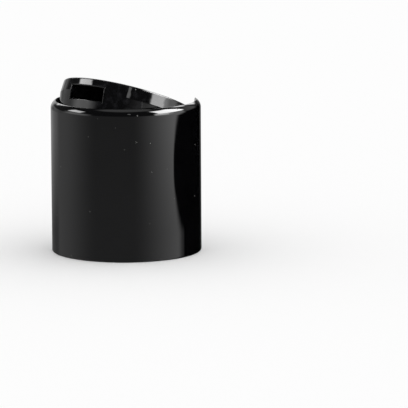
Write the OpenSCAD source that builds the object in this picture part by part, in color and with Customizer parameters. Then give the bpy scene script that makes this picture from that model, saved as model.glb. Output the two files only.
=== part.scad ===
// Disc top cap for a 24 mm bottle neck: a moulded shell with a disc that rocks in its well.
// Z is up and the foot of the skirt stands on z = 0. The spout looks along -Y, and the
// disc rocks about an axis along X. The disc is drawn open, with its spout raised.

/* [Neck and skirt] */
// Diameter of the neck bore, at the root of its thread
neck_bore_d = 24.2; // [23.4:0.1:25.4]
// Depth of the neck bore, from the foot to the deck
neck_depth = 19.7; // [17.5:0.1:22]
// Thickness of the skirt round the neck bore
skirt_wall = 1.65; // [1.45:0.05:2.2]
// Chamfer at the mouth of the neck bore
mouth_chamfer = 0.5; // [0.2:0.05:0.7]
// Fillet between the neck bore and the deck
neck_fillet = 0.95; // [0.5:0.05:1.2]
// Rounding of the outer edge at the foot
foot_round = 0.3; // [0.15:0.05:0.5]

/* [Deck] */
// Thickness of the deck over the neck bore
deck_t = 1.5; // [1.2:0.05:2.2]
// Fillet between the deck and the wall of the well
well_fillet = 0.8; // [0.3:0.05:0.9]
// Diameter of the seal bead under the deck, at its middle
seal_d = 18.6; // [16:0.2:20.4]
// Width of the seal bead
seal_w = 0.9; // [0.6:0.05:1]
// Height of the seal bead
seal_h = 0.7; // [0.6:0.05:1.2]

/* [Collar and rim] */
// Thickness of the collar round the disc
collar_wall = 0.95; // [0.85:0.05:1.3]
// Rounding of the outer edge of the rim
rim_round = 1.6; // [1.4:0.05:2.2]
// Chamfer of the inner edge of the rim
rim_chamfer = 0.14; // [0.05:0.01:0.2]

/* [Thumb notch] */
// Width of the notch in the collar, at the rim
notch_w = 17; // [15:0.2:20]
// Depth of the notch below the rim
notch_depth = 3.8; // [2.6:0.1:4.4]
// Slope of the sides of the notch, from upright
notch_slope = 22; // [22:1:34]
// Rounding of the lower corners of the notch
notch_round = 1.6; // [0.6:0.1:2.2]

/* [Discharge sleeve] */
// Distance of the sleeve in front of the rocking axis
sleeve_forward = 4.8; // [4.4:0.1:5.2]
// Bore of the sleeve
sleeve_bore_d = 2.4; // [2:0.1:2.8]
// Thickness of the sleeve
sleeve_wall = 0.6; // [0.5:0.05:0.75]
// How far the sealing bead stands out of the sleeve
bead_out = 0.5; // [0.4:0.05:0.6]
// Height of the sleeve over the rocking axis
sleeve_over = 0.5; // [0.3:0.05:0.6]
// Fillet at the root of the sleeve
sleeve_fillet = 0.5; // [0.2:0.05:0.8]
// Countersink of the sleeve's bore, under the deck
sleeve_sink = 0.6; // [0.3:0.05:0.9]

/* [Rocking axis] */
// Distance of the axis behind the middle of the cap
pivot_back = 0.8; // [0.2:0.1:1.4]
// Depth of the axis below the top of the disc
pivot_drop = 2.6; // [2.55:0.05:3]
// Angle between the closed disc and the open one
open_deg = 22.5; // [18:0.5:25]
// Diameter of the trunnions
trunnion_d = 2.2; // [1.8:0.1:2.6]
// Chamfer at the ends of the trunnions
trunnion_chamfer = 0.22; // [0.1:0.02:0.3]
// Radial play of the trunnions in their sockets
trunnion_play = 0.06; // [0.03:0.01:0.1]
// Material left behind each socket
socket_floor = 0.4; // [0.3:0.02:0.45]
// Play between a trunnion's end and the floor of its socket
end_play = 0.1; // [0.05:0.01:0.15]
// Material round a trunnion, where the disc's band carries it
lug_wall = 0.8; // [0.6:0.05:1.1]

/* [Disc] */
// Gap between the disc and the collar
disc_gap = 0.35; // [0.3:0.01:0.5]
// How far the closed disc stands over the rim
disc_proud = 0.25; // [0:0.05:0.5]
// Thickness of the top plate
plate_t = 1.45; // [1.2:0.05:1.6]
// Height of the band round the disc
band_h = 2.35; // [2.2:0.05:2.5]
// Thickness of the band
band_wall = 1; // [0.8:0.05:1.2]
// How far the top of the band leans in
band_lean = 0.15; // [0.05:0.01:0.25]
// Rounding of the disc's top edge
edge_round = 0.25; // [0.2:0.05:0.5]
// Gap between the open disc and the deck, where it stops
stop_gap = 0.15; // [0.1:0.01:0.3]
// Step between the band and the apron below it, at the sides
apron_step = 0.12; // [0.08:0.01:0.2]
// Width of the front where the apron is flush with the band
face_w = 19.6; // [12.5:0.1:20.5]
// Thickness of the apron
apron_wall = 0.9; // [0.7:0.05:1.1]
// Gap between the closed disc's apron and the deck
apron_gap = 0.35; // [0.2:0.05:0.6]

/* [Spout] */
// Width of the spout's window
window_w = 7.6; // [6:0.1:8.6]
// Height of the spout's window
window_h = 2.5; // [2:0.05:2.7]
// Chamfer round the window
window_chamfer = 0.16; // [0.05:0.01:0.25]
// Thickness of the cheeks beside the window
cheek_w = 2; // [1.4:0.1:2.4]
// Thickness of the channel's floor
channel_floor = 1; // [0.8:0.05:1.1]
// Width of the channel where it leaves the chamber
throat_w = 3.2; // [2.4:0.1:3.4]
// Thickness of the hub round the chamber
hub_wall = 0.8; // [0.6:0.05:1]
// Depth of the hub below the rocking axis
hub_drop = 2.4; // [2.3:0.05:2.7]
// Length of the flare that leads the sleeve into the hub
lead_l = 1.1; // [0.8:0.05:1.2]
// How far the flare widens the chamber
lead_out = 0.4; // [0.25:0.05:0.45]
// Gap between the sealing bead and the chamber
bead_play = 0.05; // [0.03:0.01:0.1]
// Gap between the plug and the sleeve's bore
plug_play = 0.1; // [0.08:0.01:0.15]
// How far the closed plug reaches into the sleeve
plug_reach = 0.8; // [0.5:0.05:0.9]
// Chamfer at the plug's tip
plug_chamfer = 0.3; // [0.1:0.05:0.4]

/* [Thumb pad] */
// Radius of the hollow for the thumb
pad_r = 11.5; // [10:0.1:13]
// Distance from the disc's middle to the front of the hollow
pad_start = 1.5; // [1:0.1:3]
// Depth of the hollow
pad_depth = 1.1; // [0.8:0.05:1.2]
// Radius of the cove that leads from the hollow's floor to its edge
pad_cove = 1.3; // [1.25:0.05:1.8]
// Thickness of the pad under the hollow
pad_t = 1; // [0.8:0.05:1.05]
// Number of grip bars on the pad
grip_count = 5; // [3:1:6]
// Spacing of the grip bars
grip_pitch = 2.2; // [1.6:0.1:2.4]
// Width of a grip bar
grip_w = 0.8; // [0.5:0.05:1.1]
// Length of a grip bar
grip_l = 2.9; // [2:0.1:3.4]
// Height of a grip bar
grip_h = 0.28; // [0.15:0.01:0.4]
// Distance of the grip bars behind the disc's middle
grip_back = 7.2; // [6.6:0.1:8.4]

/* [Hidden] */
$fn = 96;
// Overlap that keeps cuts and joined solids clean
eps = 0.02;
// How far a cut starts in front of the face that it opens
past = 1;
// Length that reaches right through the cap from its middle
reach = 40;

bore_r = neck_bore_d / 2;
cap_r = bore_r + skirt_wall;
well_r = cap_r - collar_wall;
disc_r = well_r - disc_gap;
deck_top = neck_depth + deck_t;

// The open disc stops with the rear of its band just over the deck, which sets the axis,
// and the closed disc sets the rim.
band_z = pivot_drop - band_h;
rear_drop = (disc_r - pivot_back) * sin(open_deg) - band_z * cos(open_deg);
pivot_z = deck_top + stop_gap + rear_drop;
rim_z = pivot_z + pivot_drop - disc_proud;

// Centre of the arc that rounds the rim, so that it meets the well at the rim's height
rim_arc_x = cap_r - rim_round;
rim_arc_z = rim_z - sqrt(pow(rim_round, 2) - pow(max(0, rim_round - collar_wall), 2));

sleeve_r = sleeve_bore_d / 2 + sleeve_wall;
bead_r = sleeve_r + bead_out;
sleeve_y = pivot_back - sleeve_forward;

trunnion_r = trunnion_d / 2;
socket_end = cap_r - socket_floor;
lug_r = trunnion_r + lug_wall;

// Heights on the disc count from the rocking axis, with the disc closed.
under_z = pivot_drop - plate_t;
channel_z = under_z - window_h;
apron_z = deck_top + apron_gap - pivot_z;
// The apron's foot is drawn in, so that it swings past the collar as closely as the band.
apron_r = sqrt(pow(disc_r + pivot_back, 2) - pow(apron_z, 2)) - pivot_back;
block_half_w = window_w / 2 + cheek_w;

// The chamber leans by half the travel, so that the sealing bead stays on its axis but for
// the rise of the arc that the bead describes in the disc.
half_deg = open_deg / 2;
bead_rise = sleeve_forward * (1 - cos(half_deg));
chamber_forward = sleeve_forward - bead_rise / 2;
chamber_r = bead_r + bead_rise / 2 + bead_play;
hub_r = chamber_r + hub_wall;
plug_r = sleeve_bore_d / 2 - plug_play;

pad_y = pad_start + pad_r;

// Cuts the convex corner at the origin, top and right, to an arc
module round_corner(r) {
    translate([-r, -r])
        difference() {
            square(r + eps);
            circle(r);
        }
}

// Fills the hollow corner at the origin, bottom and right, with an arc
module fillet_corner(r) {
    translate([-r, 0])
        difference() {
            square([r + eps, r]);
            translate([0, r])
                circle(r);
        }
}

// Half section of the skirt, deck and collar
module shell_section() {
    difference() {
        square([cap_r, rim_z]);
        translate([-eps, -eps])
            square([bore_r + eps, neck_depth + eps]);
        polygon([
            [bore_r - eps, -eps],
            [bore_r + mouth_chamfer + eps, -eps],
            [bore_r - eps, mouth_chamfer + eps]
        ]);
        translate([cap_r, 0])
            mirror([0, 1])
                round_corner(foot_round);
        well_section();
        rim_rounding();
    }
    translate([bore_r, neck_depth])
        mirror([0, 1])
            fillet_corner(neck_fillet);
    seal_section();
}

// Half section of the well over the deck
module well_section() {
    difference() {
        translate([-eps, deck_top])
            square([well_r + eps, reach]);
        translate([well_r, deck_top])
            fillet_corner(well_fillet);
    }
    polygon([
        [well_r - eps, rim_z - rim_chamfer - eps],
        [well_r + rim_chamfer + eps, rim_z],
        [well_r + rim_chamfer + eps, rim_z + rim_round],
        [well_r - eps, rim_z + rim_round]
    ]);
}

// Cut that rounds the outside of the rim
module rim_rounding() {
    difference() {
        translate([rim_arc_x, rim_arc_z])
            square([rim_round + eps, 2 * rim_round]);
        translate([rim_arc_x, rim_arc_z])
            circle(rim_round);
    }
}

// Half section of the bead that seals on the bottle's mouth
module seal_section() {
    translate([seal_d / 2, neck_depth - seal_h + seal_w / 2]) {
        circle(seal_w / 2);
        translate([-seal_w / 2, 0])
            square([seal_w, seal_h - seal_w / 2 + eps]);
    }
}

// Discharge sleeve with its sealing bead, on the deck
module sleeve() {
    translate([0, sleeve_y, 0])
        rotate_extrude() {
            translate([0, deck_top - eps])
                square([sleeve_r, pivot_z + sleeve_over - deck_top + eps]);
            intersection() {
                translate([0, pivot_z])
                    circle(bead_r);
                translate([0, pivot_z - bead_r])
                    square([bead_r, bead_r + sleeve_over]);
            }
            translate([sleeve_r, deck_top])
                mirror([1, 0])
                    fillet_corner(sleeve_fillet);
        }
}

// Bore of the sleeve, countersunk under the deck
module sleeve_bore() {
    translate([0, sleeve_y, 0])
        rotate_extrude() {
            translate([0, neck_depth - eps])
                square([sleeve_bore_d / 2, reach]);
            polygon([
                [0, neck_depth - eps],
                [sleeve_bore_d / 2 + sleeve_sink + eps, neck_depth - eps],
                [0, neck_depth + sleeve_bore_d / 2 + sleeve_sink]
            ]);
        }
}

// Thumb notch, cut through the rear of the collar
module thumb_notch() {
    side_run = notch_depth * tan(notch_slope);
    floor_half = notch_w / 2 - side_run;
    tangent = notch_round * tan((90 - notch_slope) / 2);
    translate([0, reach, rim_z - notch_depth])
        rotate([90, 0, 0])
            linear_extrude(reach)
                for (side = [-1, 1])
                    scale([side, 1])
                        union() {
                            polygon([
                                [-eps, 0],
                                [floor_half - tangent, 0],
                                [
                                    floor_half + tangent * sin(notch_slope),
                                    tangent * cos(notch_slope)
                                ],
                                [notch_w / 2, notch_depth],
                                [notch_w / 2, notch_depth + rim_round],
                                [-eps, notch_depth + rim_round]
                            ]);
                            translate([floor_half - tangent, notch_round])
                                circle(notch_round);
                        }
}

// Blind round sockets that carry the trunnions
module trunnion_sockets() {
    for (side = [-1, 1])
        translate([0, pivot_back, pivot_z])
            rotate([0, side * 90, 0])
                translate([0, 0, well_r - past])
                    cylinder(h = socket_end - well_r + past, r = trunnion_r + trunnion_play);
}

module shell() {
    color("#141416")
        difference() {
            union() {
                rotate_extrude()
                    shell_section();
                sleeve();
            }
            sleeve_bore();
            thumb_notch();
            trunnion_sockets();
        }
}

// Half section of the top plate and the band round it
module plate_section() {
    difference() {
        polygon([
            [0, under_z],
            [disc_r - band_wall, under_z],
            [disc_r - band_wall, band_z],
            [disc_r, band_z],
            [disc_r - band_lean, pivot_drop],
            [0, pivot_drop]
        ]);
        translate([disc_r - band_lean, pivot_drop])
            round_corner(edge_round);
    }
}

// Half section of a wall that hangs from the plate, stepped in behind the band
module apron_section(step) {
    polygon([
        [disc_r - band_lean - step, under_z + eps],
        [disc_r - step, band_z],
        [apron_r - step, apron_z],
        [apron_r - step - apron_wall, apron_z],
        [disc_r - band_wall - step, under_z + eps]
    ]);
}

// Space over the slanting plane that is level with the deck when the disc is open
module over_apron_foot() {
    translate([0, -apron_r, apron_z + eps])
        rotate([open_deg, 0, 0])
            translate([-reach, -reach / 2, 0])
                cube([2 * reach, 2 * reach, reach]);
}

// Wall below the band: flush with it in front, stepped in at the sides
module apron() {
    intersection() {
        union() {
            rotate_extrude()
                apron_section(apron_step);
            intersection() {
                rotate_extrude()
                    apron_section(0);
                translate([-face_w / 2, -reach, apron_z])
                    cube([face_w, reach, under_z - apron_z]);
            }
        }
        over_apron_foot();
    }
}

// Cheeks and floor of the channel between the hub and the front wall
module spout_block() {
    intersection() {
        translate([-block_half_w, -disc_r, channel_z - channel_floor])
            cube([
                2 * block_half_w,
                disc_r + pivot_back - chamber_forward,
                under_z + eps - channel_z + channel_floor
            ]);
        rotate_extrude()
            polygon([
                [0, apron_z],
                [apron_r - apron_wall / 2, apron_z],
                [disc_r - band_wall / 2, band_z],
                [disc_r - band_wall / 2, under_z + past],
                [0, under_z + past]
            ]);
    }
}

// Hub round the chamber, leaning by half the travel
module hub() {
    intersection() {
        on_chamber_axis()
            translate([0, 0, -hub_drop])
                cylinder(h = reach, r = hub_r);
        below_plate(eps);
    }
}

// Chamber that rides on the sealing bead
module chamber() {
    intersection() {
        on_chamber_axis() {
            translate([0, 0, -hub_drop - past])
                cylinder(h = reach, r = chamber_r);
            translate([0, 0, -hub_drop - eps])
                cylinder(h = lead_l + eps, r1 = chamber_r + lead_out, r2 = chamber_r);
        }
        below_plate(0);
    }
}

// Puts its children on the chamber's axis
module on_chamber_axis() {
    translate([0, pivot_back, 0])
        rotate([half_deg, 0, 0])
            translate([0, -chamber_forward, 0])
                children();
}

// Space below the underside of the plate
module below_plate(overlap) {
    translate([-reach, -reach, -reach])
        cube([2 * reach, 2 * reach, reach + under_z + overlap]);
}

// Channel from the chamber to the window, widening to the front
module channel() {
    throat_y = pivot_back - chamber_forward;
    mouth_y = -apron_r + apron_wall;
    translate([0, 0, channel_z])
        linear_extrude(window_h)
            polygon([
                [-window_w / 2, -reach],
                [window_w / 2, -reach],
                [window_w / 2, mouth_y],
                [throat_w / 2, throat_y],
                [-throat_w / 2, throat_y],
                [-window_w / 2, mouth_y]
            ]);
}

// Radius of the flush face round the window at a height on the disc
function face_r(z) = z > band_z
    ? disc_r - band_lean * (z - band_z) / band_h
    : disc_r + (apron_r - disc_r) * (band_z - z) / (band_z - apron_z);

// Chamfers on the four edges of the window
module window_edges() {
    top_z = channel_z + window_h;
    intersection() {
        rotate_extrude() {
            edge_section(face_r(channel_z), channel_z, -1);
            edge_section(face_r(top_z), top_z, 1);
        }
        translate([-window_w / 2 - window_chamfer, -reach, channel_z - past])
            cube([window_w + 2 * window_chamfer, reach, window_h + 2 * past]);
    }
    for (side = [-1, 1])
        jamb_edge(side);
}

// Section of the cut along the sill or the lintel
module edge_section(r, z, up) {
    polygon([
        [r - window_chamfer, z],
        [r + past, z + up * (window_chamfer + past)],
        [r + past, z]
    ]);
}

// Cut along a jamb, square to the face there, which leans in above and below the band's foot
module jamb_edge(side) {
    face_y = sqrt(pow(disc_r, 2) - pow(window_w / 2, 2));
    face_deg = asin(window_w / 2 / disc_r);
    upper_deg = atan(band_lean / band_h / cos(face_deg));
    lower_deg = atan((disc_r - apron_r) / (band_z - apron_z) / cos(face_deg));
    scale([side, 1, 1])
        translate([window_w / 2, -face_y, band_z]) {
            rotate([-upper_deg, 0, 0])
                rotate([0, 0, face_deg])
                    linear_extrude(channel_z + window_h - band_z)
                        jamb_section();
            rotate([lower_deg, 0, 0])
                rotate([0, 0, face_deg])
                    translate([0, 0, channel_z - band_z])
                        linear_extrude(band_z - channel_z)
                            jamb_section();
        }
}

// Section of the cut along a jamb, with the face along X
module jamb_section() {
    polygon([
        [-past, -past],
        [window_chamfer, -past],
        [window_chamfer, 0],
        [0, window_chamfer],
        [-past, window_chamfer]
    ]);
}

// Plug that stops the sleeve's bore when the disc is closed
module plug() {
    plug_z = sleeve_over - plug_reach;
    translate([0, sleeve_y, 0])
        rotate_extrude()
            polygon([
                [0, plug_z],
                [plug_r - plug_chamfer, plug_z],
                [plug_r, plug_z + plug_chamfer],
                [plug_r, under_z + eps],
                [0, under_z + eps]
            ]);
}

// Trunnions on the rocking axis, and the lugs that carry them below the band
module trunnions() {
    trunnion_end = socket_end - end_play;
    for (side = [-1, 1])
        translate([0, pivot_back, 0])
            rotate([0, side * 90, 0]) {
                translate([0, 0, disc_r - band_wall + eps])
                    cylinder(h = trunnion_end - trunnion_chamfer - disc_r + band_wall - eps, r = trunnion_r);
                translate([0, 0, trunnion_end - trunnion_chamfer])
                    cylinder(h = trunnion_chamfer, r1 = trunnion_r, r2 = trunnion_r - trunnion_chamfer);
            }
    intersection() {
        translate([0, pivot_back, 0])
            rotate([0, 90, 0])
                cylinder(h = 2 * reach, r = lug_r, center = true);
        difference() {
            translate([0, 0, -lug_r])
                cylinder(h = lug_r + under_z, r = disc_r - apron_step);
            translate([0, 0, -lug_r - past])
                cylinder(h = lug_r + under_z + 2 * past, r = disc_r - band_wall - apron_step);
        }
    }
}

// Thickening of the plate under the thumb hollow
module thumb_pad() {
    pad_z = pivot_drop - pad_depth - pad_t;
    intersection() {
        translate([0, pad_y, pad_z])
            cylinder(h = under_z - pad_z + eps, r = pad_r + pad_t);
        translate([0, 0, pad_z])
            cylinder(h = under_z - pad_z + eps, r = disc_r - band_wall / 2);
    }
}

// Hollow for the thumb, with a coved wall that meets the top plate at an edge
module thumb_hollow() {
    cove_x = pad_r - sqrt(pow(pad_cove, 2) - pow(pad_cove - pad_depth, 2));
    translate([0, pad_y, pivot_drop - pad_depth])
        rotate_extrude() {
            square([cove_x, 2 * pad_cove]);
            intersection() {
                translate([cove_x, pad_cove])
                    circle(pad_cove);
                translate([cove_x - eps, 0])
                    square([2 * pad_cove, 2 * pad_cove]);
            }
        }
}

// Row of grip bars on the floor of the thumb hollow
module grip_bars() {
    straight = grip_l - grip_w;
    for (i = [0 : grip_count - 1])
        translate([(i - (grip_count - 1) / 2) * grip_pitch, grip_back, pivot_drop - pad_depth - eps])
            linear_extrude(grip_h + eps)
                union() {
                    square([grip_w, straight], center = true);
                    for (end = [-1, 1])
                        translate([0, end * straight / 2])
                            circle(grip_w / 2);
                }
}

// Disc as it lies closed, with the rocking axis at z = 0
module closed_disc() {
    difference() {
        union() {
            rotate_extrude()
                plate_section();
            apron();
            spout_block();
            hub();
            thumb_pad();
        }
        chamber();
        channel();
        window_edges();
        thumb_hollow();
    }
    plug();
    trunnions();
    grip_bars();
}

module disc() {
    color("#1c1c1e")
        translate([0, pivot_back, pivot_z])
            rotate([-open_deg, 0, 0])
                translate([0, -pivot_back, 0])
                    closed_disc();
}

shell();
disc();
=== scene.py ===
"""Disc top cap for a 24 mm bottle neck: its finishes, its thread, and a plain white studio.

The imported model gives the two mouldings, the shell and the disc. This file dresses them as
injection-moulded polypropylene, adds the thread inside the neck bore, and sets up the camera, the
floor and the soft boxes. Sizes are in millimetres and angles in degrees, unless a name or a
docstring says otherwise.
"""

import logging
import math
from dataclasses import dataclass, field
from enum import Enum

import bpy
from mathutils import Matrix, Vector


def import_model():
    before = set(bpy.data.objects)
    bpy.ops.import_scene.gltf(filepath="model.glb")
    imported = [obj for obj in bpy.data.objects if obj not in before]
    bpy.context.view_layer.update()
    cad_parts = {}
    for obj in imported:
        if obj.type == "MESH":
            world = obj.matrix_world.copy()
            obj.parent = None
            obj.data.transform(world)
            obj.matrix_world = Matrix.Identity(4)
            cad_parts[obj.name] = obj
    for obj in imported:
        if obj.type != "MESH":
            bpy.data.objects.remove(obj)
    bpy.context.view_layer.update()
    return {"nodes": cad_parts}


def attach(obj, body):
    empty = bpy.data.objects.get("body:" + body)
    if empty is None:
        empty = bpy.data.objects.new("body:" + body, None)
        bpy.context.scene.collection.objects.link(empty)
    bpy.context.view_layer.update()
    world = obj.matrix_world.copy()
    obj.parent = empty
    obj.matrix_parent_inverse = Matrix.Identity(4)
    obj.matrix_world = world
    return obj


MM = 0.001
HALF_TURN = 180.0
PHOTO_SIDE_PX = 408

MATH = "ShaderNodeMath"
MIX = "ShaderNodeMix"
# Sockets of the Mix node, which has its own pair for each kind of data.
FACTOR, NUMBER_A, NUMBER_B, COLOUR_A, COLOUR_B = 0, 2, 3, 6, 7
NUMBER_OUT, COLOUR_OUT = 0, 2

Tree = bpy.types.NodeTree
Socket = bpy.types.NodeSocket
Value = Socket | float
# A measured value, where its mask is 0, and where its mask is 1.
Limit = tuple[Socket, Value, Value]
# The two numbers of a limit: where a mask is 0, and where it is 1.
Edge = tuple[float, float]
# Where a span of angles starts and ends.
Span = tuple[float, float]

log = logging.getLogger("disc_top_cap")


def hex_to_linear(code: str) -> tuple[float, float, float, float]:
    """Turns an sRGB hex colour to the linear values that shaders take.

    Args:
        code: Colour such as "#0A0A0B".

    Returns:
        Linear red, green, blue and an alpha of 1.
    """
    channels = [int(code[i : i + 2], 16) / 255 for i in (1, 3, 5)]
    linear = [c / 12.92 if c <= 0.04045 else ((c + 0.055) / 1.055) ** 2.4 for c in channels]
    return (*linear, 1.0)


def add_node(
    tree: Tree, kind: str, links: dict[int | str, object] | None = None, **settings: object
) -> bpy.types.Node:
    """Adds one node to a shader or geometry tree.

    Args:
        tree: The tree that gets the node.
        kind: Blender's type name of the node.
        links: Input socket, by name or number, to an output socket or a plain value.
        settings: The node's own properties.

    Returns:
        The new node.
    """
    node = tree.nodes.new(kind)
    for name, value in settings.items():
        setattr(node, name, value)
    for key, value in (links or {}).items():
        if isinstance(value, Socket):
            tree.links.new(value, node.inputs[key])
        else:
            node.inputs[key].default_value = value
    return node


def soft_mask(tree: Tree, *limits: Limit) -> Socket:
    """Builds a mask with soft edges, which is 1 where every limit is kept.

    Args:
        tree: The tree that gets the nodes.
        limits: The limits, each with its measured value and its edge.

    Returns:
        The socket with the product of the limits' masks.
    """
    product = None
    for value, outside, inside in limits:
        mask = add_node(
            tree,
            "ShaderNodeMapRange",
            {"Value": value, "From Min": outside, "From Max": inside},
            interpolation_type="SMOOTHSTEP",
        ).outputs["Result"]
        if product is None:
            product = mask
        else:
            product = add_node(tree, MATH, {0: product, 1: mask}, operation="MULTIPLY").outputs[0]
    return product


def span_limit(tree: Tree, angle: Socket, span: Span, fade: float) -> Limit:
    """Measures how far an angle lies from the middle of a span, the shorter way round.

    Args:
        tree: The tree that gets the nodes.
        angle: The socket with the angle.
        span: Where the span starts and ends.
        fade: Half width of the fade at both ends.

    Returns:
        The limit for soft_mask: the distance, and where the mask is 0 and 1.
    """
    start, end = span
    steps: tuple[tuple[str, dict[int, float]], ...] = (
        ("SUBTRACT", {1: (start + end) / 2}),
        ("WRAP", {1: HALF_TURN, 2: -HALF_TURN}),
        ("ABSOLUTE", {}),
    )
    away = angle
    for operation, numbers in steps:
        away = add_node(tree, MATH, {0: away, **numbers}, operation=operation).outputs[0]
    half = (end - start) / 2
    return away, half + fade, half - fade


@dataclass(frozen=True)
class Relief:
    """One layer of fine relief: size and depth of its features, and its count of finer layers."""

    size: float
    depth: float
    detail: float = 2.0

    def lay(
        self, tree: Tree, place: Socket, below: Socket | None = None, zone: Socket | None = None
    ) -> Socket:
        """Adds the relief over another normal, everywhere or in one zone only.

        Args:
            tree: The material's tree.
            place: The place in millimetres.
            below: The normal that the relief is laid over.
            zone: Mask of the zone that has the relief.

        Returns:
            The socket with the new normal.
        """
        height = add_node(
            tree,
            "ShaderNodeTexNoise",
            {"Vector": place, "Scale": 1 / self.size, "Detail": self.detail},
        ).outputs["Fac"]
        if zone is not None:
            height = add_node(tree, MATH, {0: height, 1: zone}, operation="MULTIPLY").outputs[0]
        links: dict[int | str, object] = {"Height": height, "Distance": self.depth * MM}
        if below is not None:
            links["Normal"] = below
        return add_node(tree, "ShaderNodeBump", links).outputs["Normal"]


@dataclass(frozen=True)
class Polypropylene:
    """Black polypropylene, coloured with carbon masterbatch and injection moulded.

    To the eye it is a deep black that shows its form only by what it reflects: hard, nearly
    mirror-like reflections where the mould was polished, and dull ones where it wasn't.
    """

    name: str = "polypropylene_black"
    colour: str = "#030304"
    ior: float = 1.49
    polished_roughness: float = 0.024
    core_roughness: float = 0.3
    # The gloss wanders between this share of a roughness and all of it, in patches of this size.
    gloss_share: float = 0.8
    gloss_size: float = 2.75
    gloss_detail: float = 2.0
    # Masterbatch that isn't mixed in quite evenly leaves clouds a few millimetres wide.
    flow_colour: str = "#050506"
    flow_size: float = 5.5
    flow_detail: float = 3.0
    flow_edge: Edge = (0.3, 0.7)
    # Shrinkage bends the reflections in waves about as wide as the wall's thick and thin places.
    sink: Relief = Relief(11.0, 0.012, 0.0)
    # The core is turned with a feed of about 0.1 mm. Its marks are drawn over three times as
    # coarse, because they wouldn't show in the render otherwise.
    machining: Relief = Relief(0.35, 0.004)
    # A mould's edges are broken by about this much, which only the light shows.
    edge_radius: float = 0.12
    edge_samples: int = 8
    # Static holds a few specks of dust. Most are under 0.1 mm, and are drawn larger, because they
    # wouldn't show in the render otherwise. About one cell in four has a speck, which is solid
    # out to a share of its radius.
    dust_colour: str = "#3A3A38"
    dust_roughness: float = 0.8
    dust_spacing: float = 1.5
    dust_radius: float = 0.17
    dust_solid: float = 0.6
    dust_chance: Edge = (0.72, 0.73)

    def start(self) -> tuple[bpy.types.Material, bpy.types.Node, Socket]:
        """Makes the material with its shader, in place of Blender's default nodes.

        Returns:
            The material, its Principled shader, and the socket with the place in millimetres.
        """
        material = bpy.data.materials.new(self.name)
        material.use_nodes = True
        material.diffuse_color = hex_to_linear(self.colour)
        tree = material.node_tree
        tree.nodes.clear()
        shader = add_node(tree, "ShaderNodeBsdfPrincipled", {"IOR": self.ior})
        add_node(tree, "ShaderNodeOutputMaterial", {"Surface": shader.outputs["BSDF"]})
        metres = add_node(tree, "ShaderNodeTexCoord").outputs["Object"]
        place = add_node(
            tree, "ShaderNodeVectorMath", {"Vector": metres, "Scale": 1 / MM}, operation="SCALE"
        )
        return material, shader, place.outputs["Vector"]

    def around_axis(self, tree: Tree, place: Socket) -> tuple[Socket, Socket]:
        """Measures a place from the upright axis.

        Args:
            tree: The material's tree.
            place: The place in millimetres.

        Returns:
            The sockets with the distance from the axis and with the height.
        """
        apart = add_node(tree, "ShaderNodeSeparateXYZ", {0: place}).outputs
        flat = add_node(tree, "ShaderNodeCombineXYZ", {"X": apart["X"], "Y": apart["Y"]})
        radius = add_node(
            tree, "ShaderNodeVectorMath", {0: flat.outputs[0]}, operation="LENGTH"
        )
        return radius.outputs["Value"], apart["Z"]

    def cavity_normal(self, tree: Tree, place: Socket, waves: Relief) -> Socket:
        """Gives the faces that the mould's cavity made their soft edges and their waves.

        Args:
            tree: The material's tree.
            place: The place in millimetres.
            waves: The waves that bend the reflections.

        Returns:
            The socket with the normal.
        """
        edges = add_node(
            tree, "ShaderNodeBevel", {"Radius": self.edge_radius * MM}, samples=self.edge_samples
        )
        return waves.lay(tree, place, below=edges.outputs["Normal"])

    def gloss(
        self, tree: Tree, place: Socket, roughness: float, *zones: tuple[Socket, float]
    ) -> Socket:
        """Lets the gloss wander a little, and gives zones a roughness of their own.

        Args:
            tree: The material's tree.
            place: The place in millimetres.
            roughness: The roughness outside the zones.
            zones: Mask and roughness of each zone, a later zone over an earlier one.

        Returns:
            The socket with the roughness.
        """
        level: Value = roughness * self.gloss_share
        wander = add_node(
            tree,
            "ShaderNodeTexNoise",
            {"Vector": place, "Scale": 1 / self.gloss_size, "Detail": self.gloss_detail},
        ).outputs["Fac"]
        for mask, value in ((wander, roughness), *zones):
            links = {FACTOR: mask, NUMBER_A: level, NUMBER_B: value}
            level = add_node(tree, MIX, links, data_type="FLOAT").outputs[NUMBER_OUT]
        return level

    def flow_marks(self, tree: Tree, place: Socket, hidden: Socket | None) -> Socket:
        """Draws the clouds of the masterbatch.

        Args:
            tree: The material's tree.
            place: The place in millimetres.
            hidden: Mask of the zone whose coarser finish hides them.

        Returns:
            The socket with their mask.
        """
        noise = add_node(
            tree,
            "ShaderNodeTexNoise",
            {"Vector": place, "Scale": 1 / self.flow_size, "Detail": self.flow_detail},
        )
        marks = soft_mask(tree, (noise.outputs["Fac"], *self.flow_edge))
        if hidden is None:
            return marks
        links = {FACTOR: hidden, NUMBER_A: marks, NUMBER_B: 0.0}
        return add_node(tree, MIX, links, data_type="FLOAT").outputs[NUMBER_OUT]

    def dust(self, tree: Tree, place: Socket) -> Socket:
        """Scatters the specks of dust, one at the most in each cell of a Voronoi pattern.

        Args:
            tree: The material's tree.
            place: The place in millimetres.

        Returns:
            The socket with their mask.
        """
        cells = add_node(
            tree,
            "ShaderNodeTexVoronoi",
            {"Vector": place, "Scale": 1 / self.dust_spacing},
            feature="F1",
        ).outputs
        chance = add_node(tree, "ShaderNodeSeparateColor", {"Color": cells["Color"]})
        radius = self.dust_radius / self.dust_spacing
        return soft_mask(
            tree,
            (chance.outputs["Red"], *self.dust_chance),
            (cells["Distance"], radius, radius * self.dust_solid),
        )

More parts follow.
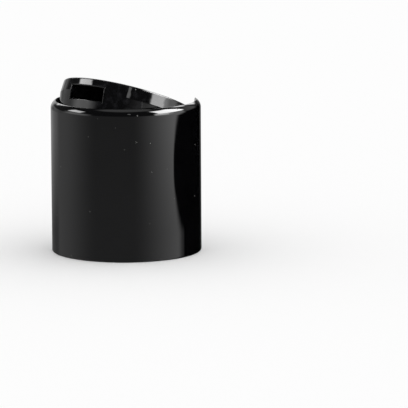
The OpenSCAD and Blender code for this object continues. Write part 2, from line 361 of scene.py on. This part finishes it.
    def paint(
        self,
        shader: bpy.types.Node,
        place: Socket,
        roughness: Socket,
        normal: Socket,
        hidden: Socket | None = None,
    ) -> None:
        """Joins colour, roughness and normal to the shader, with flow marks and dust.

        Args:
            shader: The Principled shader.
            place: The place in millimetres.
            roughness: The socket with the roughness.
            normal: The socket with the normal.
            hidden: Mask of the zone whose coarser finish hides the flow marks.
        """
        tree = shader.id_data
        dust = self.dust(tree, place)
        colour: object = hex_to_linear(self.colour)
        for mask, code in (
            (self.flow_marks(tree, place, hidden), self.flow_colour),
            (dust, self.dust_colour),
        ):
            links = {FACTOR: mask, COLOUR_A: colour, COLOUR_B: hex_to_linear(code)}
            colour = add_node(tree, MIX, links, data_type="RGBA").outputs[COLOUR_OUT]
        links = {FACTOR: dust, NUMBER_A: roughness, NUMBER_B: self.dust_roughness}
        dusty = add_node(tree, MIX, links, data_type="FLOAT").outputs[NUMBER_OUT]
        for name, socket in (("Base Color", colour), ("Roughness", dusty), ("Normal", normal)):
            tree.links.new(socket, shader.inputs[name])


@dataclass(frozen=True)
class ShellFinish(Polypropylene):
    """Shell's finish: gloss from a polished cavity, and duller faces where the core made them."""

    name: str = "polypropylene_black_moulded_gloss"
    # The core made the bore, which is 12.1 mm in radius and ends under the deck at 19.7 mm. The
    # two edges lie within the wall and within the deck, where they don't show.
    core_r: Edge = (12.45, 12.3)
    core_z: Edge = (20.2, 20.0)

    def material(self) -> bpy.types.Material:
        """Builds the shell's material.

        Returns:
            The material.
        """
        # Moulded against polished steel: the skirt and the well mirror the studio in hard,
        # unbroken shapes. The bore shows only a dull sheen, with the fine marks of the core.
        material, shader, place = self.start()
        tree = material.node_tree
        radius, height = self.around_axis(tree, place)
        core = soft_mask(tree, (radius, *self.core_r), (height, *self.core_z))
        roughness = self.gloss(
            tree, place, self.polished_roughness, (core, self.core_roughness)
        )
        normal = self.machining.lay(
            tree, place, below=self.cavity_normal(tree, place, self.sink), zone=core
        )
        self.paint(shader, place, roughness, normal)
        return material


@dataclass(frozen=True)
class DiscFinish(Polypropylene):
    """Disc's finish: a satin top face, a polished band and a duller underside.

    The zones are told in the disc's closed pose, as distances from its axis and heights over its
    trunnions, so the place is turned back to that pose first.
    """

    name: str = "polypropylene_black_moulded_satin"
    # The band shows a finer and paler bloom of the masterbatch than the shell does.
    flow_colour: str = "#161618"
    flow_size: float = 1.1
    flow_edge: Edge = (0.46, 0.72)
    satin_roughness: float = 0.42
    # Spark erosion leaves pits of about 0.05 mm. They are drawn three times as coarse, because
    # they wouldn't show in the render otherwise.
    spark: Relief = Relief(0.16, 0.006)
    # A band that was polished by hand keeps a faint orange peel.
    peel: Relief = Relief(1.3, 0.012, 1.0)
    # The pose that the photograph shows, and the line that the disc turned about.
    tilt: float = 22.5
    trunnion_y: float = 0.8
    trunnion_z: float = 25.577292
    # The satin zone is the top face with its thumb hollow, up to the band's rounded edge. Inside
    # the band's wall the faces are as dull as the shell's core side.
    satin_r: Edge = (12.15, 12.05)
    satin_z: Edge = (1.38, 1.46)
    hollow_r: Edge = (11.55, 11.45)

    def closed_place(self, tree: Tree, place: Socket) -> Socket:
        """Turns a place of the open disc back to its closed pose.

        Args:
            tree: The material's tree.
            place: The place in millimetres.

        Returns:
            The socket with the place, its height counted from the trunnions.
        """
        turn = math.radians(self.tilt)
        trunnions = Vector((0, self.trunnion_y, self.trunnion_z))
        moved = Vector((0, self.trunnion_y, 0)) - Matrix.Rotation(turn, 3, "X") @ trunnions
        return add_node(
            tree,
            "ShaderNodeMapping",
            {"Vector": place, "Location": moved, "Rotation": (turn, 0, 0)},
            vector_type="POINT",
        ).outputs["Vector"]

    def material(self) -> bpy.types.Material:
        """Builds the disc's material.

        Returns:
            The material.
        """
        # The top was moulded against spark-eroded steel: it spreads the light to an even dark
        # grey. The band was polished and mirrors the studio, and the underside is a dull sheen.
        material, shader, place = self.start()
        tree = material.node_tree
        radius, height = self.around_axis(tree, self.closed_place(tree, place))
        satin = soft_mask(tree, (radius, *self.satin_r), (height, *self.satin_z))
        hollow = soft_mask(tree, (radius, *self.hollow_r))
        roughness = self.gloss(
            tree,
            place,
            self.polished_roughness,
            (hollow, self.core_roughness),
            (satin, self.satin_roughness),
        )
        normal = self.spark.lay(
            tree, place, below=self.cavity_normal(tree, place, self.peel), zone=satin
        )
        self.paint(shader, place, roughness, normal, hidden=satin)
        return material


@dataclass(frozen=True)
class ThreadFinish(Polypropylene):
    """Thread's finish: the core side of the shell's moulding."""

    name: str = "polypropylene_black_core_side"
    gloss_size: float = 1.4

    def material(self) -> bpy.types.Material:
        """Builds the thread's material.

        Returns:
            The material.
        """
        # Moulded against a turned core: a dull sheen all over, with the fine marks of the tool.
        material, shader, place = self.start()
        tree = material.node_tree
        roughness = self.gloss(tree, place, self.core_roughness)
        self.paint(shader, place, roughness, self.machining.lay(tree, place))
        return material


@dataclass
class NeckThread:
    """Thread of the neck bore: one and a half turns of a rounded ridge, faded out at its ends.

    Run-out is the share of its length in which each end fades, down to a share of its section.
    """

    root_r: float = 12.1
    crest_r: float = 11.15
    pitch: float = 3.175
    turns: float = 1.5
    start_z: float = 2.6
    root_w: float = 1.8
    crest_w: float = 0.55
    sunk: float = 0.15
    fillet_r: float = 0.12
    fillet_steps: int = 3
    run_out: float = 0.07
    end_scale: float = 0.03
    points_a_turn: int = 72
    finish: ThreadFinish = ThreadFinish()

    def inputs(self) -> dict[str, object]:
        """Lists the node tree's inputs by name, with lengths in metres.

        Returns:
            The value of each input. Its type says which kind of socket it takes.
        """
        lengths = {
            "Root radius": self.root_r,
            "Height": self.root_r - self.crest_r,
            "Pitch": self.pitch,
            "Start": self.start_z,
            "Root width": self.root_w,
            "Crest width": self.crest_w,
            "Sunk": self.sunk,
            "Fillet radius": self.fillet_r,
        }
        return {name: length * MM for name, length in lengths.items()} | {
            "Fillet steps": self.fillet_steps,
            "Turns": self.turns,
            "Run-out": self.run_out,
            "End scale": self.end_scale,
            "Points a turn": self.points_a_turn,
            "Finish": self.finish.material(),
        }

    def helix(self, tree: Tree, given: bpy.types.NodeOutputs) -> Socket:
        """Winds the path that the ridge follows, on the wall of the bore.

        Args:
            tree: The node tree.
            given: The tree's inputs.

        Returns:
            The socket with the path.
        """
        rise = add_node(
            tree, MATH, {0: given["Pitch"], 1: given["Turns"]}, operation="MULTIPLY"
        ).outputs[0]
        spiral = add_node(
            tree,
            "GeometryNodeCurveSpiral",
            {
                "Resolution": given["Points a turn"],
                "Rotations": given["Turns"],
                "Start Radius": given["Root radius"],
                "End Radius": given["Root radius"],
                "Height": rise,
            },
        ).outputs[0]
        return add_node(tree, "GeometryNodeSetCurveNormal", {0: spiral}, mode="Z_UP").outputs[0]

    def section(self, tree: Tree, given: bpy.types.NodeOutputs) -> Socket:
        """Draws the ridge's section, a trapezium with its root sunk in the wall.

        Args:
            tree: The node tree.
            given: The tree's inputs.

        Returns:
            The socket with the closed outline.
        """
        corners = (
            (("Sunk", -1.0), ("Root width", 0.5)),
            (("Sunk", -1.0), ("Root width", -0.5)),
            (("Height", 1.0), ("Crest width", -0.5)),
            (("Height", 1.0), ("Crest width", 0.5)),
        )
        points: dict[int | str, object] = {}
        for number, corner in enumerate(corners, start=1):
            places = [
                add_node(tree, MATH, {0: given[name], 1: share}, operation="MULTIPLY").outputs[0]
                for name, share in corner
            ]
            point = add_node(tree, "ShaderNodeCombineXYZ", dict(enumerate(places)))
            points[f"Point {number}"] = point.outputs[0]
        outline = add_node(
            tree, "GeometryNodeCurvePrimitiveQuadrilateral", points, mode="POINTS"
        ).outputs[0]
        return add_node(
            tree,
            "GeometryNodeFilletCurve",
            {"Curve": outline, "Radius": given["Fillet radius"], "Count": given["Fillet steps"]},
            mode="POLY",
        ).outputs[0]

    def taper(self, tree: Tree, given: bpy.types.NodeOutputs) -> Socket:
        """Fades the ridge out at both ends.

        Args:
            tree: The node tree.
            given: The tree's inputs.

        Returns:
            The socket with the scale of the section along the path.
        """
        along = add_node(tree, "GeometryNodeSplineParameter").outputs["Factor"]
        scale = add_node(tree, MATH, {0: 1.0, 1: along}, operation="SUBTRACT").outputs[0]
        for operation, value in (
            ("MINIMUM", along),
            ("DIVIDE", given["Run-out"]),
            ("MINIMUM", 1.0),
            ("MAXIMUM", given["End scale"]),
        ):
            scale = add_node(tree, MATH, {0: scale, 1: value}, operation=operation).outputs[0]
        return scale

    def tree(self, inputs: dict[str, object]) -> Tree:
        """Builds the node tree that sweeps the ridge along its helix.

        Args:
            inputs: The value of each input, whose type says its kind of socket.

        Returns:
            The tree, with a named input for each size.
        """
        tree = bpy.data.node_groups.new("neck_thread", "GeometryNodeTree")
        ports = tree.interface
        ports.new_socket("Geometry", in_out="OUTPUT", socket_type="NodeSocketGeometry")
        kinds = {float: "NodeSocketFloat", int: "NodeSocketInt"}
        for name, value in inputs.items():
            kind = kinds.get(type(value), "NodeSocketMaterial")
            ports.new_socket(name, in_out="INPUT", socket_type=kind)
        given = add_node(tree, "NodeGroupInput").outputs
        ridge = add_node(
            tree,
            "GeometryNodeCurveToMesh",
            {
                "Curve": self.helix(tree, given),
                "Profile Curve": self.section(tree, given),
                "Scale": self.taper(tree, given),
                "Fill Caps": True,
            },
        ).outputs[0]
        start = add_node(tree, "ShaderNodeCombineXYZ", {"Z": given["Start"]}).outputs[0]
        raised = add_node(
            tree, "GeometryNodeTransform", {"Geometry": ridge, "Translation": start}
        ).outputs[0]
        real = add_node(tree, "GeometryNodeRealizeInstances", {0: raised}).outputs[0]
        dressed = add_node(
            tree, "GeometryNodeSetMaterial", {"Geometry": real, "Material": given["Finish"]}
        ).outputs[0]
        add_node(tree, "NodeGroupOutput", {0: dressed})
        return tree

    def build(self) -> bpy.types.Object:
        """Makes the thread as a plain mesh, attached to the cap's body.

        Returns:
            The thread's object.
        """
        carrier = bpy.data.objects.new("thread_path", bpy.data.meshes.new("thread_path"))
        bpy.context.scene.collection.objects.link(carrier)
        modifier = carrier.modifiers.new("thread", "NODES")
        inputs = self.inputs()
        modifier.node_group = self.tree(inputs)
        for item in modifier.node_group.interface.items_tree:
            if item.item_type == "SOCKET" and item.in_out == "INPUT":
                modifier[item.identifier] = inputs[item.name]
        graph = bpy.context.evaluated_depsgraph_get()
        mesh = bpy.data.meshes.new_from_object(carrier.evaluated_get(graph))
        carrier.modifiers.remove(modifier)
        bpy.data.objects.remove(carrier)
        mesh.shade_smooth()
        thread = bpy.data.objects.new("neck_thread", mesh)
        bpy.context.scene.collection.objects.link(thread)
        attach(thread, "cap")
        return thread


@dataclass
class Cap:
    """The cap itself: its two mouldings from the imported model, dressed, and its thread."""

    nodes: dict[str, bpy.types.Object]
    shell_finish: ShellFinish = ShellFinish()
    disc_finish: DiscFinish = DiscFinish()
    thread: NeckThread = field(default_factory=NeckThread)

    def build(self) -> list[bpy.types.Object]:
        """Dresses the mouldings and adds the thread.

        Returns:
            The cap's pieces.
        """
        pieces = []
        for name, finish in (("shell", self.shell_finish), ("disc", self.disc_finish)):
            pieces.append(self.nodes[name])
            pieces[-1].material_slots[0].material = finish.material()
        return [*pieces, self.thread.build()]


@dataclass
class PhotoCamera:
    """Camera at the photograph's angle, which looks down a little and is turned by its roll."""

    azimuth: float = 40.4
    elevation: float = 9.22
    roll: float = -0.47
    distance: float = 700.0
    px_per_mm: float = 5.445
    aim_z: float = 13.9
    aim_px: tuple[float, float] = (126.3, 174.8)
    sensor: float = 36.0
    clip: tuple[float, float] = (10.0, 20000.0)

    def build(self) -> bpy.types.Object:
        """Places the camera so that the cap's middle falls where the photograph has it.

        Returns:
            The camera's object.
        """
        a, e = math.radians(self.azimuth), math.radians(self.elevation)
        back = Vector((math.sin(a) * math.cos(e), -math.cos(a) * math.cos(e), math.sin(e)))
        right = Vector((math.cos(a), math.sin(a), 0))
        up = back.cross(right)
        turn = Matrix.Rotation(math.radians(self.roll), 3, back)
        right, up = turn @ right, turn @ up
        middle = PHOTO_SIDE_PX / 2
        across = (middle - self.aim_px[0]) / self.px_per_mm
        down = (middle - self.aim_px[1]) / self.px_per_mm
        cap = Vector((0, 0, self.aim_z))
        place = cap + back * self.distance
        aim = cap + right * across - up * down
        forward = (aim - place).normalized()
        side = forward.cross(up).normalized()
        top = side.cross(forward)
        data = bpy.data.cameras.new("camera")
        data.sensor_width = self.sensor
        data.lens = self.px_per_mm * self.distance / PHOTO_SIDE_PX * self.sensor
        data.clip_start, data.clip_end = (length * MM for length in self.clip)
        camera = bpy.data.objects.new("camera", data)
        rows = [(side[i], top[i], -forward[i], place[i] * MM) for i in range(3)]
        camera.matrix_world = Matrix((*rows, (0, 0, 0, 1)))
        bpy.context.scene.collection.objects.link(camera)
        bpy.context.scene.camera = camera
        return camera


class Axis(Enum):
    """The two angles that say where a light of the dome is.

    Azimuth 0 is on the camera's side and 90 on the picture's right, and elevation 0 is level.
    """

    AZIMUTH = "azimuth"
    ELEVATION = "elevation"


Angles = dict[Axis, Socket]


@dataclass(frozen=True)
class SoftBox:
    """One soft box of the dome, with the half width of its fades in azimuth and elevation."""

    name: str
    azimuth: Span
    elevation: Span
    radiance: float
    fade: tuple[float, float] = (1.5, 1.5)

    def mask(self, tree: Tree, angles: Angles) -> Socket:
        """Masks the directions that the box fills.

        Args:
            tree: The dome's material tree.
            angles: The sockets with the two angles.

        Returns:
            The socket with the mask.
        """
        limits = [
            span_limit(tree, angles[axis], span, fade)
            for axis, span, fade in zip(Axis, (self.azimuth, self.elevation), self.fade)
        ]
        return soft_mask(tree, *limits)


@dataclass(frozen=True)
class TablePool:
    """One pool of light on the table, with its radiance far from the cap's foot and near it."""

    name: str
    azimuth: Span
    fade: float
    radiance: tuple[float, float]


@dataclass(frozen=True)
class Table:
    """Table round the cap, which fills the lower half of the dome.

    It is bright on the side of the large box, and dim elsewhere. Near the cap's foot, where the
    elevation passes from one foot level to the other, its light changes a little.
    """

    foot: Edge = (-8.5, -10.1)
    radiance: tuple[float, float] = (0.27, 0.3)
    pools: tuple[TablePool, ...] = (
        TablePool("large box's side", (48, 128), 40, (2.02, 1.25)),
        TablePool("far right", (140, 178), 5, (0.12, 0.07)),
        TablePool("rear", (176, 232), 5, (0.48, 0.14)),
        TablePool("left", (-120, -70), 25, (0.62, 0.57)),
    )

    def glow(self, tree: Tree, angles: Angles) -> Socket:
        """Lays the pools of light over the table's own level.

        Args:
            tree: The dome's material tree.
            angles: The sockets with the two angles.

        Returns:
            The socket with the radiance.
        """
        start, end = self.foot
        near = add_node(
            tree,
            "ShaderNodeMapRange",
            {"Value": angles[Axis.ELEVATION], "From Min": start, "From Max": end},
        ).outputs["Result"]
        links = dict(zip((FACTOR, NUMBER_A, NUMBER_B), (near, *self.radiance)))
        glow = add_node(tree, MIX, links, data_type="FLOAT").outputs[NUMBER_OUT]
        for pool in self.pools:
            links = dict(zip((FACTOR, NUMBER_A, NUMBER_B), (near, *pool.radiance)))
            level = add_node(tree, MIX, links, data_type="FLOAT").outputs[NUMBER_OUT]
            limit = span_limit(tree, angles[Axis.AZIMUTH], pool.azimuth, pool.fade)
            links = {FACTOR: soft_mask(tree, limit), NUMBER_A: glow, NUMBER_B: level}
            mixed = add_node(tree, MIX, links, data_type="FLOAT", label=pool.name)
            glow = mixed.outputs[NUMBER_OUT]
        return glow


@dataclass(frozen=True)
class DarkFlag:
    """Dark flag that hides part of the table, and gives the skirt its black stripe.

    Its near edge is bowed: the azimuth where it starts grows with the square of the elevation's
    distance from the bow's middle, up to a limit. The fade there is a width and a share of that
    growth.
    """

    azimuth: Span = (77.6, 158.0)
    radiance: float = 0.002
    bow_middle: float = -9.12
    bow_rate: float = 15.0
    bow_limit: float = 15.0
    bow_fade: tuple[float, float] = (1.2, 0.45)
    end_fade: float = 3.0

    def mask(self, tree: Tree, angles: Angles) -> Socket:
        """Masks the directions that the flag hides.

        Args:
            tree: The dome's material tree.
            angles: The sockets with the two angles.

        Returns:
            The socket with the mask.
        """
        start, end = self.azimuth
        width, share = self.bow_fade
        depth = add_node(
            tree, MATH, {0: angles[Axis.ELEVATION], 1: self.bow_middle}, operation="SUBTRACT"
        ).outputs[0]
        bow = depth
        for operation, value in (
            ("MULTIPLY", depth),
            ("MULTIPLY", self.bow_rate),
            ("MINIMUM", self.bow_limit),
        ):
            bow = add_node(tree, MATH, {0: bow, 1: value}, operation=operation).outputs[0]
        edge = add_node(tree, MATH, {0: bow, 1: start}, operation="ADD").outputs[0]
        fade = add_node(
            tree, MATH, {0: bow, 1: share, 2: width}, operation="MULTIPLY_ADD"
        ).outputs[0]
        outside, inside = (
            add_node(tree, MATH, {0: edge, 1: fade}, operation=operation).outputs[0]
            for operation in ("SUBTRACT", "ADD")
        )
        azimuth = angles[Axis.AZIMUTH]
        return soft_mask(
            tree,
            (azimuth, outside, inside),
            (azimuth, end + self.end_fade, end - self.end_fade),
        )


@dataclass
class ReflectionDome:
    """Dome with the table, the dark flag and the soft boxes, which only reflections see.

    It is so large that every part of the cap sees each light in the same direction, and it is
    turned so that azimuth 0 faces the camera.
    """

    radius: float = 12000.0
    middle_z: float = 24.0
    turn: float = 40.4
    segments: int = 48
    rings: int = 24
    upper_radiance: float = 0.07
    horizon: Edge = (4.0, 12.0)
    table: Table = Table()
    flag: DarkFlag = DarkFlag()
    boxes: tuple[SoftBox, ...] = (
        SoftBox("overhead", (-200, 200), (68, 100), 0.75, (1.0, 5.0)),
        SoftBox("key, surround", (52, 102), (2, 60), 2.1, (6.0, 5.0)),
        SoftBox("key, far side", (106, 138), (10, 36), 0.55, (6.0, 5.0)),
        SoftBox("key, spill", (50, 76), (5, 23), 4.0, (9.0, 2.0)),
        SoftBox("key, lower part", (46, 70), (9.0, 21), 8.8, (2.5, 1.5)),
        SoftBox("key, upper part", (54, 108), (24, 57), 21.0, (3.0, 3.0)),
        SoftBox("left", (-108, -79), (24, 42), 9.2, (2.5, 2.0)),
        SoftBox("strip", (3, 8), (31.5, 41), 2.2, (0.8, 0.8)),
        SoftBox("low left", (-104, -62), (3, 20), 1.8, (12.0, 3.0)),
        SoftBox("left side", (-142, -114), (-6, 4), 0.38, (6.0, 3.0)),
        SoftBox("left, far side", (-180, -142), (-6, 4), 0.25, (6.0, 3.0)),
        SoftBox("rear", (150, 208), (19, 50), 4.0, (5.0, 4.0)),
        SoftBox("rear, low", (172, 202), (-4, 18), 0.8, (6.0, 4.0)),
        SoftBox("rear, right", (138, 152), (37, 48), 6.0, (3.0, 3.0)),
    )

    def angles(self, tree: Tree) -> Angles:
        """Gives the direction of a point on the dome.

        Args:
            tree: The dome's material tree.

        Returns:
            The sockets with the two angles.
        """
        place = add_node(tree, "ShaderNodeTexCoord").outputs["Object"]
        unit = add_node(tree, "ShaderNodeVectorMath", {0: place}, operation="NORMALIZE")
        apart = add_node(tree, "ShaderNodeSeparateXYZ", {0: unit.outputs[0]}).outputs
        front = add_node(tree, MATH, {0: apart["Y"], 1: -1.0}, operation="MULTIPLY").outputs[0]
        found = {}
        for axis, operation, values in (
            (Axis.AZIMUTH, "ARCTAN2", {0: apart["X"], 1: front}),
            (Axis.ELEVATION, "ARCSINE", {0: apart["Z"]}),
        ):
            radians = add_node(tree, MATH, values, operation=operation).outputs[0]
            found[axis] = add_node(tree, MATH, {0: radians}, operation="DEGREES").outputs[0]
        return found

    def material(self) -> bpy.types.Material:
        """Builds the dome's glowing material.

        Returns:
            The material.
        """
        # Cloth of the boxes, black flag and table: each direction glows at its own level, so that
        # the glossy cap shows them with their soft edges.
        material = bpy.data.materials.new("dome_of_soft_boxes")
        material.use_nodes = True
        tree = material.node_tree
        tree.nodes.clear()
        angles = self.angles(tree)
        level = self.table.glow(tree, angles)
        upper = soft_mask(tree, (angles[Axis.ELEVATION], *self.horizon))
        layers = [
            ("dark flag", self.flag.mask(tree, angles), self.flag.radiance),
            ("upper half", upper, self.upper_radiance),
            *((box.name, box.mask(tree, angles), box.radiance) for box in self.boxes),
        ]
        for name, mask, radiance in layers:
            links = {FACTOR: mask, NUMBER_A: level, NUMBER_B: radiance}
            mixed = add_node(tree, MIX, links, data_type="FLOAT", label=name)
            level = mixed.outputs[NUMBER_OUT]
        light = add_node(tree, "ShaderNodeEmission", {"Strength": level}).outputs[0]
        add_node(tree, "ShaderNodeOutputMaterial", {"Surface": light})
        return material

    def build(self) -> bpy.types.Object:
        """Hangs the dome round the cap.

        Returns:
            The dome's object.
        """
        bpy.ops.mesh.primitive_uv_sphere_add(
            segments=self.segments,
            ring_count=self.rings,
            radius=self.radius * MM,
            location=(0, 0, self.middle_z * MM),
            rotation=(0, 0, math.radians(self.turn)),
        )
        dome = bpy.context.object
        dome.name = dome.data.name = "dome"
        dome.data.materials.append(self.material())
        dome.visible_camera = False
        dome.visible_diffuse = False
        dome.visible_shadow = False
        return dome


@dataclass
class Studio:
    """Plain white studio: a pale floor, and even light that also makes the backdrop white."""

    floor_side: float = 6000.0
    floor_colour: str = "#FDFDFD"
    sky_colour: str = "#FFFFFF"
    sky: float = 1.0

    def light(self) -> None:
        """Fills the studio with even light."""
        world = bpy.data.worlds.new("studio")
        world.use_nodes = True
        background = world.node_tree.nodes["Background"]
        background.inputs["Color"].default_value = hex_to_linear(self.sky_colour)
        background.inputs["Strength"].default_value = self.sky
        bpy.context.scene.world = world

    def build(self) -> bpy.types.Object:
        """Lays the floor, which keeps the cap's shadow, and lights the studio.

        Returns:
            The floor's object.
        """
        half = self.floor_side / 2 * MM
        mesh = bpy.data.meshes.new("floor")
        corners = [(-half, -half, 0), (half, -half, 0), (half, half, 0), (-half, half, 0)]
        mesh.from_pydata(corners, [], [(0, 1, 2, 3)])
        # Matt white paper: it shows the shadow and no reflection.
        material = bpy.data.materials.new("floor_matt_white")
        material.use_nodes = True
        inputs = material.node_tree.nodes["Principled BSDF"].inputs
        inputs["Base Color"].default_value = hex_to_linear(self.floor_colour)
        inputs["Roughness"].default_value = 1.0
        inputs["Specular IOR Level"].default_value = 0.0
        mesh.materials.append(material)
        floor = bpy.data.objects.new("floor", mesh)
        bpy.context.scene.collection.objects.link(floor)
        floor.visible_glossy = False
        self.light()
        return floor


def main() -> None:
    """Builds the scene in order: frame, camera, cap and studio, and logs what it made."""
    logging.basicConfig(level=logging.INFO, format="%(name)s: %(message)s")
    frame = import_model()
    log.info("camera: %s", PhotoCamera().build().name)
    for piece in Cap(frame["nodes"]).build():
        finish = piece.data.materials[0].name
        log.info("piece: %s, %d faces, %s", piece.name, len(piece.data.polygons), finish)
    for stage in (Studio().build(), ReflectionDome().build()):
        log.info("stage: %s", stage.name)
    bpy.context.scene.view_settings.view_transform = "Standard"


if __name__ == "__main__":
    main()
